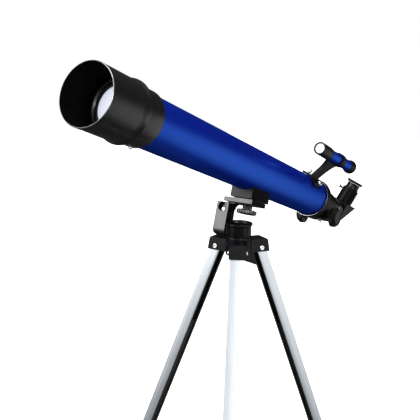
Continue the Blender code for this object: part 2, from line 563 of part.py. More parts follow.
def build_spreader(axis):
    radius, height, length, hub_height = spreader_points()
    for number, azimuth in enumerate(LEG_AZIMUTHS, start=1):
        place = (radius * math.cos(azimuth), radius * math.sin(azimuth), height)
        arm_axis = empty(f"spreader_arm_axis_{number}", axis, place, (0, -SPREADER_ANGLE, azimuth))
        bar = block(-1.5 * MM, 1.5 * MM, -4.6 * MM, 4.6 * MM, 0, length)
        arm = add_object(f"spreader_arm_{number}", bar, "aluminium", arm_axis)
        join(arm,
             rod(3.2 * MM, -4.6 * MM, 4.6 * MM, 12, along_y()),
             rod(3.2 * MM, -4.6 * MM, 4.6 * MM, 12, along_y(z=length)),
             rod(1.6 * MM, -8.0 * MM, 8.0 * MM, 12, along_y()))
    hub_axis = empty("spreader_hub_axis", axis, (0, 0, hub_height))
    disc = [(3.2, -8.5), (13.0, -8.5), (13.0, -4.4), (3.2, -4.4)]
    hub = add_object("spreader_hub", turned(scaled(disc), 24), "black_plastic", hub_axis)
    ears = []
    for azimuth in LEG_AZIMUTHS:
        turn = Matrix.Rotation(azimuth, 4, "Z")
        for y in (5.0 * MM, -7.2 * MM):
            ears.append(block(9 * MM, 22 * MM, y, y + 2.2 * MM, -8.5 * MM, 3.6 * MM, turn))
    join(hub, *ears)


# ---------------------------------------------------------------- assembly

def build():
    clear_scene()
    make_materials()
    axis = empty("tripod_axis", None, (AXIS_X, AXIS_Y, TILT_HEIGHT))
    azimuth = empty("azimuth_axis", axis)
    altitude = empty("altitude_axis", azimuth, (0, 0, 0), (-ALTITUDE, 0, 0))
    # In the optical frame +Z runs to the rear along the tube, and +Y points down.
    tube = empty("optical_axis", altitude, (0, -PIVOT_STATION, OPTICAL_HEIGHT), (-math.pi / 2, 0, 0))

    build_front_end(tube)
    focus = build_focuser(tube)
    build_diagonal(focus)
    build_finder(tube)
    build_hub(axis)
    build_mount(axis, azimuth, altitude)
    for number, leg_azimuth in enumerate(LEG_AZIMUTHS, start=1):
        build_leg(axis, number, leg_azimuth)
    build_spreader(axis)


build()
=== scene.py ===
"""Looks of the telescope on its tripod: detailed pieces and procedural materials around the CAD frame.

Shapes are drawn in millimetres in the same nested frames as the CAD model: the altitude frame sits on the
tilt axis, the optical frame runs to the rear from the dew shield's front rim, and each leg has its own.
A station is a distance along the optical frame's Z axis. Its Y axis points down.
"""
import json
import math

import bmesh
import bpy
from mathutils import Matrix, Vector


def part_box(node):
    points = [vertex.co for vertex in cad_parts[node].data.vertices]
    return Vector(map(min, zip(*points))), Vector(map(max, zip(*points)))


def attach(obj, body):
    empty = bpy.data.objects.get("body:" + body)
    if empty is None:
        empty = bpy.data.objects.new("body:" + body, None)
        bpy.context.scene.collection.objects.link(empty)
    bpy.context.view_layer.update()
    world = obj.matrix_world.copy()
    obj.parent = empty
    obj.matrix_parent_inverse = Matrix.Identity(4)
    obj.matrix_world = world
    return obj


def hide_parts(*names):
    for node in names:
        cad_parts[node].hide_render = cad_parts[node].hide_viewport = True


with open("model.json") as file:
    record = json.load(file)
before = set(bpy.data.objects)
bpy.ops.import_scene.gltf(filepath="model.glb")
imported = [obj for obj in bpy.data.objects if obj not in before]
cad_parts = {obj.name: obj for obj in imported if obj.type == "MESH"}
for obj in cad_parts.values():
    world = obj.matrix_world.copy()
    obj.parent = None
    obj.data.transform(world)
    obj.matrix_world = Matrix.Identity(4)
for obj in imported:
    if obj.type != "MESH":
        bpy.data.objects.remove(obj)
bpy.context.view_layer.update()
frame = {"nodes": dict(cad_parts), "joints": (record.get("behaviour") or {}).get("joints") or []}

MM = 0.001
JOINTS = {joint["name"]: joint for joint in frame["joints"]}


# ---------------------------------------------------------------- frames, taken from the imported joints

def shift(x=0.0, y=0.0, z=0.0):
    """A move in millimetres."""
    return Matrix.Translation((x * MM, y * MM, z * MM))


def turn(degrees, axis):
    """A turn in degrees about "X", "Y" or "Z"."""
    return Matrix.Rotation(math.radians(degrees), 4, axis)


TILT_AXIS = Vector(JOINTS["altitude_tilt"]["pos_m"])
REARWARD = Vector(JOINTS["focus_slide"]["axis"])
ALTITUDE_ANGLE = math.degrees(math.asin(-REARWARD.z))
OPTICAL_HEIGHT = 88.8       # of the optical axis above the tilt axis
PIVOT_STATION = 355.8
COLLAR_SCREW_STATION = 84
FOCUS_STATION = 624.0
FOCUS_DROP = 23.5           # of the pinion below the optical axis
TENSION_STATION = 633.2
EYE_STATION = 712.0
EYEPIECE_ROLL = 22.0
FINDER_DISTANCE = 80.5      # from the optical axis
FINDER_ROLL = 42.0
FINDER_SCREW_STATION = 525
FINDER_SCREW_ANGLE = 22     # on either side of the bracket's stem
CLAMP_OFFSET = 11.2         # of the saddle's clamp screw behind the tilt axis

AZIMUTH = Matrix.Translation(TILT_AXIS)
ALTITUDE = AZIMUTH @ turn(-ALTITUDE_ANGLE, "X")
OPTICAL = ALTITUDE @ shift(0, -PIVOT_STATION, OPTICAL_HEIGHT) @ turn(-90, "X")
DIAGONAL = OPTICAL @ turn(EYEPIECE_ROLL, "Z")
BRACKET = OPTICAL @ turn(FINDER_ROLL, "Z")
FINDER = BRACKET @ shift(0, -FINDER_DISTANCE, 0)


def along_x(x=0.0, y=0.0, z=0.0):
    """Puts a shape turned about Z on an axis that runs along +X through a point."""
    return shift(x, y, z) @ turn(90, "Y")


def along_y(x=0.0, y=0.0, z=0.0):
    """The same along +Y."""
    return shift(x, y, z) @ turn(-90, "X")


def leg_frame(number):
    """A leg's frame, +X outwards, +Y along the pivot bolt, -Z down the leg, and its azimuth in degrees."""
    fold, extend = JOINTS[f"leg_fold_{number}"], JOINTS[f"leg_extend_{number}"]
    azimuth = math.degrees(math.atan2(-fold["axis"][0], fold["axis"][1]))
    splay = math.degrees(math.acos(-extend["axis"][2]))
    return Matrix.Translation(fold["pos_m"]) @ turn(azimuth, "Z") @ turn(-splay, "Y"), azimuth


# ---------------------------------------------------------------- materials

OWN_PLACE = "own_place"
BRUSH_STRETCH = 0.012       # what is left of the noise's scale along a brushed piece
PLASTIC_TONE = 90           # noise scales per metre
PLASTIC_SMUDGES = 55
PAINT_DRIFT = 16
PAINT_FLAKES = 5200
LENS_DRIFT = 30
FLOOR_DRIFT = 3
PLASTIC_GRAIN = 0.00008     # bump heights in metres
METAL_GRAIN = 0.00004
FLAKE_HEIGHT = 0.00005


def new_material(name, **sockets):
    """A material whose shader sockets are set by name; returns it with its tree and its shader."""
    material = bpy.data.materials.new(name)
    material.use_nodes = True
    shader = material.node_tree.nodes["Principled BSDF"]
    for socket, value in sockets.items():
        shader.inputs[socket.replace("_", " ")].default_value = value
    return material, material.node_tree, shader


def noise(tree, scale, detail=4.0, brushed=False):
    """A noise texture with its scale per metre; a brushed one is drawn out along the piece's own Z axis."""
    texture = tree.nodes.new("ShaderNodeTexNoise")
    texture.inputs["Scale"].default_value = scale
    texture.inputs["Detail"].default_value = detail
    if brushed:
        place = tree.nodes.new("ShaderNodeAttribute")
        place.attribute_name = OWN_PLACE
        mapping = tree.nodes.new("ShaderNodeMapping")
        mapping.inputs["Scale"].default_value = (1.0, 1.0, BRUSH_STRETCH)
        tree.links.new(place.outputs["Vector"], mapping.inputs["Vector"])
        tree.links.new(mapping.outputs["Vector"], texture.inputs["Vector"])
    else:
        place = tree.nodes.new("ShaderNodeTexCoord")
        tree.links.new(place.outputs["Object"], texture.inputs["Vector"])
    return texture.outputs["Fac"]


def ramp(tree, value, low, high, colors):
    """Maps a 0 to 1 value between two colours."""
    node = tree.nodes.new("ShaderNodeValToRGB")
    node.color_ramp.elements[0].position = low
    node.color_ramp.elements[1].position = high
    for element, color in zip(node.color_ramp.elements, colors):
        element.color = (*color, 1.0)
    tree.links.new(value, node.inputs["Fac"])
    return node.outputs["Color"]


def spread(tree, value, low, high):
    """Maps a texture's usual 0.3 to 0.7 span onto a range of values."""
    node = tree.nodes.new("ShaderNodeMapRange")
    node.inputs["From Min"].default_value = 0.3
    node.inputs["From Max"].default_value = 0.7
    node.inputs["To Min"].default_value = low
    node.inputs["To Max"].default_value = high
    tree.links.new(value, node.inputs["Value"])
    return node.outputs["Result"]


def bump(tree, shader, height, strength, distance):
    """Raises the shader's surface by a texture, at most by a distance in metres."""
    node = tree.nodes.new("ShaderNodeBump")
    node.inputs["Strength"].default_value = strength
    node.inputs["Distance"].default_value = distance
    tree.links.new(height, node.inputs["Height"])
    tree.links.new(node.outputs["Normal"], shader.inputs["Normal"])


def plastic(name, dark, light, roughness, grain=1400.0, relief=0.12, specular=0.4):
    """Moulded plastic: a fine spark-eroded grain, with smudges that change the gloss."""
    material, tree, shader = new_material(name, Specular_IOR_Level=specular)
    tone = ramp(tree, noise(tree, PLASTIC_TONE, 5), 0.35, 0.7, (dark, light))
    tree.links.new(tone, shader.inputs["Base Color"])
    smudges = spread(tree, noise(tree, PLASTIC_SMUDGES, 6), *roughness)
    tree.links.new(smudges, shader.inputs["Roughness"])
    bump(tree, shader, noise(tree, grain, 3), relief, PLASTIC_GRAIN)
    return material


def metal(name, dark, light, roughness, scale=900.0, relief=0.1, brushed=False):
    """Bare or plated metal, brushed along the piece or plain."""
    material, tree, shader = new_material(name, Metallic=1.0)
    streaks = noise(tree, scale, 4, brushed)
    tree.links.new(ramp(tree, streaks, 0.3, 0.7, (dark, light)), shader.inputs["Base Color"])
    tree.links.new(spread(tree, streaks, *roughness), shader.inputs["Roughness"])
    bump(tree, shader, streaks, relief, METAL_GRAIN)
    return material


def metallic_paint(name, deep, bright, roughness):
    """Blue lacquer over tiny flakes, which tint its gloss; the depth of colour drifts slowly."""
    material, tree, shader = new_material(name, IOR=3.0, Specular_IOR_Level=1.0,
                                          Specular_Tint=(0.06, 0.24, 1.0, 1.0))
    tone = ramp(tree, noise(tree, PAINT_DRIFT, 3), 0.3, 0.7, (deep, bright))
    tree.links.new(tone, shader.inputs["Base Color"])
    flakes = noise(tree, PAINT_FLAKES, 1)
    tree.links.new(spread(tree, flakes, *roughness), shader.inputs["Roughness"])
    bump(tree, shader, flakes, 0.05, FLAKE_HEIGHT)
    return material


def lens_glass(name, color, glow):
    """Coated lens with a painted reflection: its pale colour and its glow stand in for the bright light that
    it reflects. It is very smooth, with a faint lavender drift.
    """
    material, tree, shader = new_material(name, Roughness=0.04, Coat_Weight=1.0, Coat_Roughness=0.02,
                                          Emission_Strength=glow, Emission_Color=(*color, 1.0))
    pale = tuple(0.25 + 0.75 * c for c in color)
    tone = ramp(tree, noise(tree, LENS_DRIFT, 2), 0.3, 0.7, (color, pale))
    tree.links.new(tone, shader.inputs["Base Color"])
    return material


MATERIALS = {}


def add_finish(name, slot, make, *looks, **more):
    """Keeps a material under a name, with the record's slot for it."""
    MATERIALS[name] = (make(name, *looks, **more), slot)


add_finish("satin_black", "black_plastic", plastic, (0.0016, 0.0018, 0.0020), (0.0036, 0.0039, 0.0044),
           (0.26, 0.36), specular=0.2)
add_finish("deep_black", "black_plastic", plastic, (0.0012, 0.0013, 0.0015), (0.0028, 0.0030, 0.0034),
           (0.26, 0.36), specular=0.08)
# Painted shade: a darker copy of the black plastic without gloss, for the shaded side of a piece.
add_finish("painted_shade_black", "black_plastic", plastic, (0.0012, 0.0013, 0.0015), (0.0028, 0.0030, 0.0034),
           (0.36, 0.46), specular=0.02)
add_finish("shield_black", "black_plastic", plastic, (0.0016, 0.0019, 0.0021), (0.0036, 0.0041, 0.0045),
           (0.27, 0.31), specular=1.0)
add_finish("mount_black", "black_plastic", plastic, (0.004, 0.0044, 0.005), (0.009, 0.0096, 0.0105),
           (0.27, 0.37), specular=0.75)
add_finish("gloss_black", "black_metal", plastic, (0.0012, 0.0012, 0.0015), (0.003, 0.003, 0.0035),
           (0.16, 0.24), grain=900.0, relief=0.04, specular=0.3)
add_finish("flocked_black", "black_inside", plastic, (0.0008, 0.0008, 0.0009), (0.002, 0.002, 0.0022),
           (0.9, 1.0), grain=2600.0, relief=0.5, specular=0.05)
add_finish("blue_paint", "blue_metal", metallic_paint, (0.0012, 0.0035, 0.30), (0.0018, 0.0050, 0.36),
           (0.30, 0.38))
add_finish("leg_aluminium", "aluminium", metal, (0.62, 0.66, 0.70), (0.77, 0.815, 0.85),
           (0.26, 0.42), scale=1500.0, relief=0.16, brushed=True)
add_finish("arm_aluminium", "aluminium", metal, (0.26, 0.27, 0.29), (0.42, 0.43, 0.45),
           (0.3, 0.45), scale=1300.0, relief=0.14, brushed=True)
add_finish("dark_aluminium", "dark_aluminium", metal, (0.018, 0.018, 0.02), (0.04, 0.04, 0.044),
           (0.32, 0.5), scale=1300.0, relief=0.12, brushed=True)
# Painted shade: black given to the inside of the aluminium leg channels, for the shade in them.
add_finish("channel_painted_shade", "aluminium", plastic, (0.004, 0.004, 0.005), (0.01, 0.01, 0.012), (0.5, 0.7))
add_finish("chrome", "chrome", metal, (0.78, 0.79, 0.81), (0.92, 0.93, 0.94), (0.05, 0.13), scale=500.0)
add_finish("steel", "steel", metal, (0.42, 0.42, 0.44), (0.62, 0.62, 0.64), (0.25, 0.4))
add_finish("rubber", "rubber", plastic, (0.006, 0.006, 0.006), (0.014, 0.014, 0.014),
           (0.7, 0.9), grain=1100.0, relief=0.3, specular=0.3)
# Painted reflection: the lenses' pale colour and glow stand in for the light that they reflect.
add_finish("lens", "glass", lens_glass, (0.78, 0.82, 0.93), glow=0.75)
add_finish("mirror", "mirror", metal, (0.85, 0.87, 0.9), (0.93, 0.94, 0.96), (0.02, 0.04))


# ---------------------------------------------------------------- shapes, in millimetres

SHARP_ANGLE = math.radians(32)      # edges that turn further than this are bevelled or stay sharp
STRAIGHT_ANGLE = math.radians(168)  # corners flatter than this aren't rounded
LARGEST_SHARE = 0.45                # of a side that one corner's curve may take
SMALLEST_REACH = 0.03
ON_AXIS = 1e-6


def rounded(points, radius, steps=3):
    """Replaces each corner of a closed outline by a short curve; corners on the axis stay."""
    result = []
    count = len(points)
    for k, corner in enumerate(points):
        here = Vector(corner)
        before = Vector(points[k - 1]) - here
        after = Vector(points[(k + 1) % count]) - here
        reach = min(radius, LARGEST_SHARE * before.length, LARGEST_SHARE * after.length)
        straight = before.angle(after) > STRAIGHT_ANGLE
        if straight or reach < SMALLEST_REACH or abs(here.x) < ON_AXIS:
            result.append(tuple(here))
            continue
        start = here + before.normalized() * reach
        end = here + after.normalized() * reach
        for j in range(steps + 1):
            t = j / steps
            result.append(tuple(start * (1 - t) ** 2 + here * 2 * t * (1 - t) + end * t ** 2))
    return result


def lathe(profile, corner=0.4, segments=96, place=Matrix(), flutes=(0, 0.0, math.inf)):
    """Revolves (radius, z) points about Z, with its corners rounded to a radius, corner.

    flutes = (count, depth, smallest radius that they cut).
    """
    flute_count, flute_depth, flute_radius = flutes
    bm = bmesh.new()
    rings = []
    for r, z in (rounded(profile, corner) if corner else profile):
        if r < ON_AXIS:
            rings.append([bm.verts.new((0, 0, z))])
            continue
        ring = []
        for k in range(segments):
            angle = 2 * math.pi * k / segments
            size = r
            if r >= flute_radius:
                size -= flute_depth * (0.5 - 0.5 * math.cos(flute_count * angle)) ** 2
            ring.append(bm.verts.new((size * math.cos(angle), size * math.sin(angle), z)))
        rings.append(ring)
    following = rings[1:]
    if len(rings[0]) > 1:
        following.append(rings[0])
    for low, high in zip(rings, following):
        for k in range(segments):
            j = (k + 1) % segments
            corners = [low[k % len(low)], low[j % len(low)], high[j % len(high)], high[k % len(high)]]
            bm.faces.new(list(dict.fromkeys(corners)))
    bm.transform(place_mm(place))
    return bm


def place_mm(place):
    """A placing matrix in metres, for a shape still in millimetres."""
    result = place.copy()
    result.translation = place.translation / MM
    return result


def prism(outline, low, high, place=Matrix(), plane="xy"):
    """Extrudes an outline along the axis that is left over; a yz outline runs along x, an xz one along y."""
    put = {
        "xy": lambda a, b, c: (a, b, c),
        "yz": lambda a, b, c: (c, a, b),
        "xz": lambda a, b, c: (a, c, b),
    }[plane]
    bm = bmesh.new()
    bottom = [bm.verts.new(put(a, b, low)) for a, b in outline]
    top = [bm.verts.new(put(a, b, high)) for a, b in outline]
    bm.faces.new(bottom)
    bm.faces.new(top)
    for k in range(len(outline)):
        j = (k + 1) % len(outline)
        bm.faces.new((bottom[k], bottom[j], top[j], top[k]))
    bm.transform(place_mm(place))
    return bm


def block(x0, x1, y0, y1, z0, z1, place=Matrix()):
    """A box between two corners."""
    return prism([(x0, y0), (x1, y0), (x1, y1), (x0, y1)], z0, z1, place)


def rod(radius, low, high, place=Matrix(), segments=48):
    """A cylinder about Z, with sharp edges."""
    return lathe([(0, low), (radius, low), (radius, high), (0, high)], 0, segments, place)


def arc(center_x, center_y, radius, start, end, steps):
    """Points on a circle from one angle in degrees to another."""
    angles = [math.radians(start + (end - start) * k / steps) for k in range(steps + 1)]
    return [(center_x + radius * math.cos(a), center_y + radius * math.sin(a)) for a in angles]


def hexagon(radius):
    """The six corners of a socket for a key."""
    return arc(0, 0, radius, 30, 330, 5)


def plain_object(name, bm):
    """Turns a shape into an object with its faces outwards, still in the shape's own units."""
    bmesh.ops.recalc_face_normals(bm, faces=bm.faces)
    mesh = bpy.data.meshes.new(name)
    bm.to_mesh(mesh)
    bm.free()
    obj = bpy.data.objects.new(name, mesh)
    bpy.context.scene.collection.objects.link(obj)
    return obj


def piece(name, shape, body, material, place, nodes, steps=(), bevel=0.0, finishes=()):
    """Builds one visible piece, with its mesh in world coordinates.

    steps are (operation, shape) Booleans and bevel rounds the edges that are left. finishes are
    (material, test) pairs: faces whose centre and normal pass a test get that material instead.
    """
    obj = plain_object(name, shape)
    guides = []
    for k, (operation, other) in enumerate(steps):
        guide = plain_object(f"{name}_guide_{k}", other)
        guides.append(guide)
        modifier = obj.modifiers.new(f"step_{k}", "BOOLEAN")
        modifier.operation = operation
        modifier.solver = "EXACT"
        modifier.object = guide
    if bevel:
        modifier = obj.modifiers.new("edges", "BEVEL")
        modifier.width = bevel
        modifier.segments = 3
        modifier.limit_method = "ANGLE"
        modifier.angle_limit = SHARP_ANGLE
        modifier.harden_normals = True
        obj.data.shade_smooth()
    bpy.context.view_layer.update()
    mesh = bpy.data.meshes.new_from_object(obj.evaluated_get(bpy.context.evaluated_depsgraph_get()))
    obj.modifiers.clear()
    obj.data = mesh
    for guide in guides:
        bpy.data.objects.remove(guide)
    mesh.transform(Matrix.Scale(MM, 4))
    if not bevel:
        mesh.shade_smooth()
        mesh.set_sharp_from_angle(angle=SHARP_ANGLE)
    mesh.materials.clear()
    finish, slot = MATERIALS[material]
    mesh.materials.append(finish)
    for index, (other_material, test) in enumerate(finishes, start=1):
        mesh.materials.append(MATERIALS[other_material][0])
        for face in mesh.polygons:
            if test(face.center / MM, face.normal):
                face.material_index = index
    own_place = mesh.attributes.new(OWN_PLACE, "FLOAT_VECTOR", "POINT")
    for vertex, own in zip(mesh.vertices, own_place.data):
        own.vector = vertex.co
    mesh.transform(place)
    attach(obj, body)
    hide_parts(*nodes)


def faces_axis(center, normal):
    """True on the inside wall of a shape turned about Z."""
    return normal.x * center.x + normal.y * center.y < -0.3 * math.hypot(center.x, center.y)


def front_rim_highlight(radius, station, width=0.75, depth=0.7):
    """A test for the narrow rim that faces the front at an outer radius and a station, which gets bright
    steel as a painted highlight along the edge.
    """
    return lambda center, normal: (normal.z < -0.35 and center.z < station + depth
                                   and math.hypot(center.x, center.y) > radius - width)


# Finishes: a material and the test, in the piece's own millimetres, for the faces that it covers
FLOCKED = ("flocked_black", faces_axis)
# Painted shade: faces turned to +X get the unglossy black, standing in for the shade on that side.
PAINTED_SHADE_SIDE = ("painted_shade_black", lambda center, normal: normal.x > 0.5)
# Painted shade: the channel's inner face and its inside are black, for the shade in the channel.
CHANNEL_SHADE_INSIDE = ("channel_painted_shade",
                  lambda center, normal: normal.x < -0.5 or (abs(center.x) < 6.2 and abs(center.y) < 9.0))
# Painted shade: the rounded corners on the channel's +X side take the dark aluminium, for darker lines along
# its edges.
CHANNEL_CORNER_SHADE = ("dark_aluminium", lambda center, normal: normal.x > 0.2 and abs(normal.y) > 0.2)


# ---------------------------------------------------------------- stage, lights and camera

FLOOR_RADIUS = 9000
FLOOR_THICKNESS = 20


def build_stage():
    """A pale round floor, which neither lights the object nor shows in its gloss."""
    floor = plain_object("floor", prism(arc(0, 0, FLOOR_RADIUS, 0, 354, 59), -FLOOR_THICKNESS, 0))
    floor.data.transform(Matrix.Scale(MM, 4))
    material, tree, shader = new_material("pale_floor", Roughness=0.9, Emission_Strength=1.0,
                                          Emission_Color=(1.0, 1.0, 1.0, 1.0))
    tone = ramp(tree, noise(tree, FLOOR_DRIFT, 2), 0.2, 0.8, ((0.9, 0.9, 0.9), (0.95, 0.95, 0.95)))
    tree.links.new(tone, shader.inputs["Base Color"])
    floor.data.materials.append(material)
    floor.visible_glossy = False
    floor.visible_diffuse = False


# Soft panels of the studio: azimuth, elevation, radius of the full part and radius where it has faded out,
# all in degrees, and strength
PANELS = (
    (237.0, 18.0, 12.0, 30.0, 6.0),
    (232.0, -10.0, 4.0, 21.0, 0.95),
    (3.0, -10.0, 5.0, 23.0, 1.5),
    (297.0, 20.0, 14.0, 34.0, 0.9),
    (57.0, -25.0, 8.0, 32.0, 0.62),
    (0.0, 90.0, 25.0, 60.0, 0.6),
)
DIM_LIGHT = 0.06
WHITE_BACKDROP = 1.0


def build_studio():
    """A dim room with soft panels far away; the camera sees plain white behind the object."""
    world = bpy.data.worlds.new("studio")
    bpy.context.scene.world = world
    world.use_nodes = True
    tree = world.node_tree
    coordinates = tree.nodes.new("ShaderNodeTexCoord")
    total = None
    for azimuth, elevation, full, fading, strength in PANELS:
        a = math.radians(azimuth)
        e = math.radians(elevation)
        direction = (math.cos(a) * math.cos(e), math.sin(a) * math.cos(e), math.sin(e))
        toward = tree.nodes.new("ShaderNodeVectorMath")
        toward.operation = "DOT_PRODUCT"
        toward.inputs[1].default_value = direction
        tree.links.new(coordinates.outputs["Generated"], toward.inputs[0])
        fade = tree.nodes.new("ShaderNodeMapRange")
        fade.interpolation_type = "SMOOTHSTEP"
        fade.inputs["From Min"].default_value = math.cos(math.radians(fading))
        fade.inputs["From Max"].default_value = math.cos(math.radians(full))
        fade.inputs["To Max"].default_value = strength
        tree.links.new(toward.outputs["Value"], fade.inputs["Value"])
        added = tree.nodes.new("ShaderNodeMath")
        tree.links.new(fade.outputs["Result"], added.inputs[0])
        if total is None:
            added.inputs[1].default_value = DIM_LIGHT
        else:
            tree.links.new(total, added.inputs[1])
        total = added.outputs["Value"]
    path = tree.nodes.new("ShaderNodeLightPath")
    seen = tree.nodes.new("ShaderNodeMix")
    seen.inputs["B"].default_value = WHITE_BACKDROP
    tree.links.new(path.outputs["Is Camera Ray"], seen.inputs["Factor"])
    tree.links.new(total, seen.inputs["A"])
    background = tree.nodes["Background"]
    background.inputs["Color"].default_value = (1.0, 1.0, 1.0, 1.0)
    tree.links.new(seen.outputs["Result"], background.inputs["Strength"])


def add_light(name, direction, distance, size, power):
    """A square softbox at a distance from the tilt axis, in metres, facing it; the camera doesn't see it."""
    light = bpy.data.lights.new(name, "AREA")
    light.size = size
    light.energy = power
    lamp = bpy.data.objects.new(name, light)
    lamp.location = TILT_AXIS + Vector(direction).normalized() * distance
    lamp.rotation_euler = (-Vector(direction)).to_track_quat("-Z", "Y").to_euler()
    lamp.visible_camera = False
    bpy.context.scene.collection.objects.link(lamp)


def build_camera():
    """The photograph's camera: about 1 m in front of the mount, 11 degrees down, slightly rolled."""
    right = Vector((0.84079048, 0.54078051, 0.02505617))
    down = Vector((0.12803344, -0.15366575, -0.97979298))
    forward = Vector((-0.52600267, 0.82700863, -0.19843869))
    from_tilt_axis = Vector((0.47648156, -0.82641838, 0.22216625))
    camera = bpy.data.cameras.new("camera")
    camera.sensor_width = 36.0
    camera.lens = 59.58
    camera.clip_start = 0.01
    obj = bpy.data.objects.new("camera", camera)
    place = Matrix((right, -down, -forward)).transposed().to_4x4()
    place.translation = TILT_AXIS + from_tilt_axis
    obj.matrix_world = place
    bpy.context.scene.collection.objects.link(obj)
    bpy.context.scene.camera = obj


build_camera()
build_stage()
build_studio()
add_light("fill", direction=(0.9, -0.6, 0.3), distance=2.0, size=0.8, power=22.0)
add_light("overhead", direction=(0.1, -0.1, 1.0), distance=1.8, size=1.2, power=8.0)
bpy.context.scene.view_settings.view_transform = "Standard"


# ---------------------------------------------------------------- optical tube

def build_front_end():
    """Dew shield, lens cell, objective and the main tube."""
    shield = [(34.3, 0.0), (35.0, 0.5), (35.0, 49), (35.3, 53.5), (36.0, 57.4), (36.85, 60.2), (36.95, 62.1),
              (32.4, 62.1), (32.4, 44.0), (33.4, 43.0), (33.5, 5.0), (34.2, 0.0)]
    # Painted highlight: the shield's front rim is bright steel.
    piece("shield", lathe(shield, 0.35), "telescope", "shield_black", OPTICAL, ["dew_shield"],
          finishes=[FLOCKED, ("steel", front_rim_highlight(radius=35.0, station=0))])
    cell = [(31.9, 44), (31.9, 62.6), (33.25, 62.6), (33.25, 90.3), (32.2, 92), (30.7, 92), (30.7, 66),
            (24.0, 66), (24.0, 57.3), (26.2, 57.3), (26.2, 47), (29.0, 44)]
    piece("cell", lathe(cell, 0.5), "telescope", "shield_black", OPTICAL, ["lens_cell"])
    ring = [(25.9, 44.6), (25.9, 48.0), (24.2, 48.0), (24.4, 46.6), (25.2, 44.6)]
    piece("retaining_ring", lathe(ring, 0.3), "telescope", "gloss_black", OPTICAL, ["lens_retaining_ring"])
    lens = [(0, 48.2), (6, 48.25), (12, 48.45), (18, 48.85), (23.8, 49.4), (25.8, 49.6), (25.8, 55.0),
            (20, 55.8), (12, 56.6), (0, 57)]
    piece("objective", lathe(lens, 0), "telescope", "lens", OPTICAL, ["objective_lens"])
    screw = [(0, 31.4), (1.1, 31.4), (1.1, 33.4), (2.3, 33.4), (2.3, 34.5), (1.6, 35.3), (0, 35.5)]
    slot = block(-0.35, 0.35, -3, 3, 34.8, 37)
    piece("collar_screw_head", lathe(screw, 0.25, 32), "telescope", "chrome",
          OPTICAL @ along_y(z=COLLAR_SCREW_STATION), ["collar_screw"], [("DIFFERENCE", slot)])
    skin = [(30.6, 66.5), (30.6, 580), (29.6, 580), (29.6, 66.5)]
    piece("tube", lathe(skin, 0.3, 160), "telescope", "blue_paint", OPTICAL, ["main_tube"],
          finishes=[FLOCKED])


def build_focuser():
    """Focuser housing, drawtube with its rack, pinion, focus knobs and tension screw."""
    bore, pinion_bore, screw_bore = 14.95, 2.6, 1.8
    body = [(33.0, 570), (33.0, 586), (31.6, 590), (28.5, 593), (24.6, 598.5), (22.2, 604), (21.2, 612),
            (21.0, 640), (20.4, 643.6), (18.6, 644), (bore, 644), (bore, 600), (27.0, 590), (29.0, 580.4),
            (30.9, 580.4), (30.9, 570)]
    gear_case = rounded([(-19, 12), (-19, 28.5), (-16, 31), (16, 31), (19, 28.5), (19, 12)], 1.5)
    steps = [
        ("UNION", prism(gear_case, FOCUS_STATION - 12, FOCUS_STATION + 15)),
        ("DIFFERENCE", rod(screw_bore, 17, 33, along_y(z=TENSION_STATION))),
        ("DIFFERENCE", block(-3.5, 3.5, 10, 19, 585, 650)),
        ("DIFFERENCE", rod(bore, 596, 650, segments=90)),
        ("DIFFERENCE", rod(pinion_bore, -27, 27, along_x(y=FOCUS_DROP, z=FOCUS_STATION))),
    ]
    # Painted highlight: the flange's front rim is bright steel.
    piece("focuser_body", lathe(body, 0.6), "telescope", "deep_black", OPTICAL, ["focuser_housing"], steps,
          finishes=[("steel", front_rim_highlight(radius=33.0, station=570))])
    ribs = [(14.6, -40), (14.6, 51.5), (16.4, 52.5), (16.4, 57), (15.9, 57.6), (16.4, 58.2), (16.4, 60.5),
            (15.9, 61.1), (16.4, 61.7), (16.4, 66), (12.5, 66), (12.5, 40), (13.4, 39), (13.4, -40)]
    rack = [("UNION", block(-3.0, 3.0, 14.0, 18.2, -30, 40))]
    tooth_pitch, tooth_gap = 3, 0.8
    rack += [("DIFFERENCE", block(-4, 4, 17.3, 19, z, z + tooth_gap)) for z in range(-28, 39, tooth_pitch)]
    piece("drawtube", lathe(ribs, 0.25), "drawtube", "gloss_black", OPTICAL @ shift(z=FOCUS_STATION),
          ["focus_drawtube"], rack)
    axis = OPTICAL @ along_x(y=FOCUS_DROP, z=FOCUS_STATION)
    shaft = [(0, -33.4), (2.2, -33.4), (2.2, -5.2), (5.0, -5.2), (5.0, 5.2), (2.2, 5.2), (2.2, 33.4),
             (0, 33.4)]
    piece("pinion", lathe(shaft, 0.2, 90, flutes=(15, 0.9, 4.9)), "focus_knobs", "steel", axis,
          ["pinion_shaft"])
    knob = [(0, 36.0), (10.4, 36.0), (11.6, 36.6), (13.2, 36.5), (14.8, 35.3), (15.0, 32.9), (17.0, 32.3),
            (17.0, 25.4), (16.2, 24.6), (2.5, 24.6), (2.5, 34.0), (0, 34.0)]
    for name, side in (("right", 1), ("left", -1)):
        mirrored = Matrix.Scale(side, 4, (0, 0, 1))
        shape = lathe(knob, 0.35, 180, mirrored, flutes=(30, 0.55, 15.0))
        piece(f"focus_wheel_{name}", shape, "focus_knobs", "satin_black", axis, [f"focus_knob_{name}"])
    screw = [(0, 18.6), (1.5, 18.6), (1.5, 32.0), (3.4, 32.0), (3.4, 36.4), (0, 36.4)]
    piece("tension_screw_head", lathe(screw, 0.3, 96, flutes=(16, 0.35, 3.0)), "tension_screw", "chrome",
          OPTICAL @ along_y(z=TENSION_STATION), ["focus_tension_screw"])


